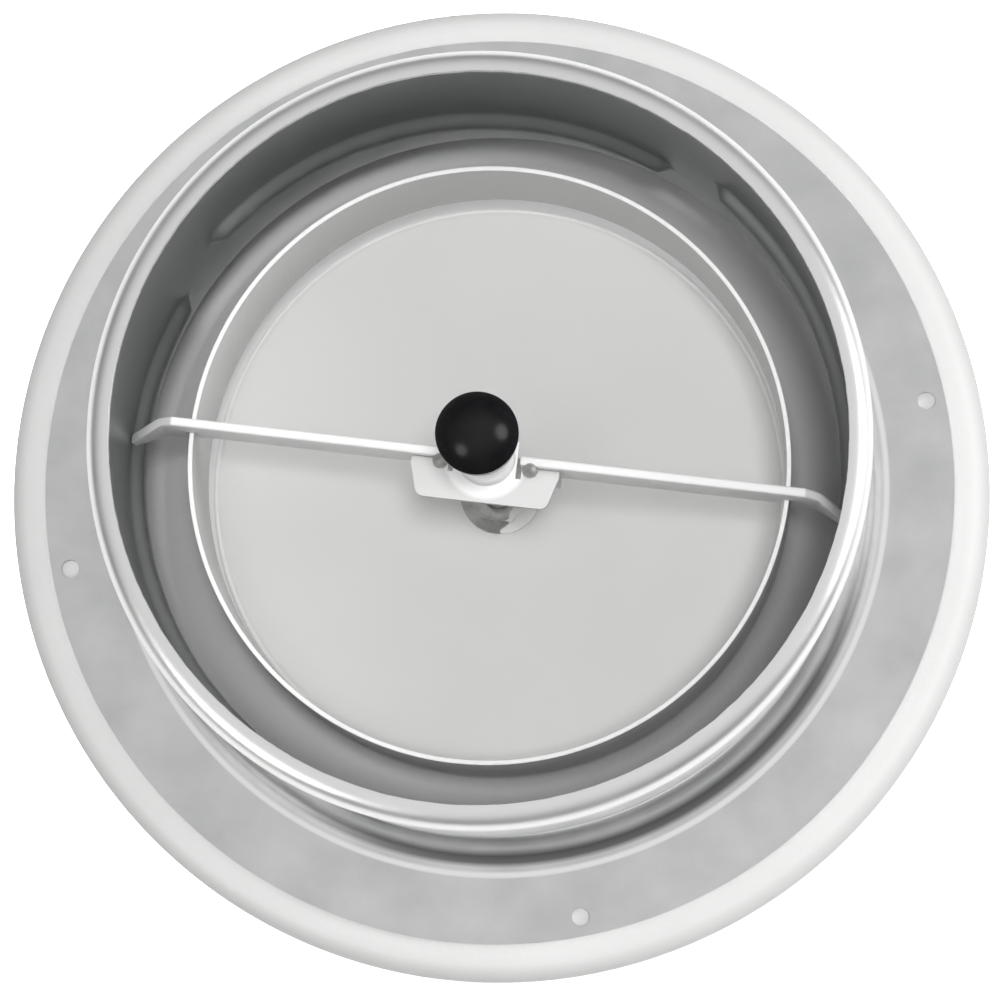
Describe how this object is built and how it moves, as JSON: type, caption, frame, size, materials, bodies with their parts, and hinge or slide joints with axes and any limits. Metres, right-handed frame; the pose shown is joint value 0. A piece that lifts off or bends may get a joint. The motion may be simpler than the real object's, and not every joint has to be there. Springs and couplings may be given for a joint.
{
  "type": "ventilation disc valve",
  "caption": "Round ceiling air valve with a screw-adjusted disc in a pressed ring, bayonet-locked in a flanged sheet-steel mounting frame with a duct spigot.",
  "frame": {"origin": "on the spigot's axis, at the rear (wall side) plane of the screw flange", "axes": "+Z along the spigot's axis into the duct, -Z towards the room; +X is the picture's right"},
  "size_m": [0.137, 0.137, 0.0645],
  "materials": {
    "galvanised_sheet": "galvanised",
    "white_powder_coat": "satin powder coat",
    "grey_foam": "open foam",
    "weld_metal": "dull",
    "zinc_plated_steel": "zinc plated",
    "black_plastic": "glossy"
  },
  "bodies": {
    "frame": {"mounting_frame": "galvanised_sheet"},
    "seal": {"foam_seal": "grey_foam"},
    "valve": {"valve_ring": "white_powder_coat", "crossbar_arm_left": "white_powder_coat", "crossbar_arm_right": "white_powder_coat", "nut_bracket": "white_powder_coat", "tack_weld_left": "weld_metal", "tack_weld_right": "weld_metal"},
    "cap": {"end_cap": "black_plastic"},
    "disc": {"spindle": "zinc_plated_steel", "flange_nut": "zinc_plated_steel", "disc": "white_powder_coat"}
  },
  "joints": [
    {"name": "bayonet_lift", "type": "slide", "parent": "frame", "child": "seal", "axis": [0, 0, 1], "range_m": [-0.0032, 0]},
    {"name": "bayonet_turn", "type": "hinge", "parent": "seal", "child": "valve", "pos_m": [0, 0, 0], "axis": [0, 0, 1], "range_deg": [-28, 0]},
    {"name": "thread_lift", "type": "slide", "parent": "valve", "child": "cap", "axis": [0, 0, 1], "range_m": [-0.01285, 0.00545]},
    {"name": "disc_turn", "type": "hinge", "parent": "cap", "child": "disc", "pos_m": [0, 0, 0], "axis": [0, 0, 1], "range_deg": [-5760, 2430]}
  ],
  "couplings": [
    {"joint": "bayonet_lift", "follows": "bayonet_turn", "m_per_rad": 0.0062643},
    {"joint": "thread_lift", "follows": "disc_turn", "m_per_rad": 0.00012732}
  ]
}
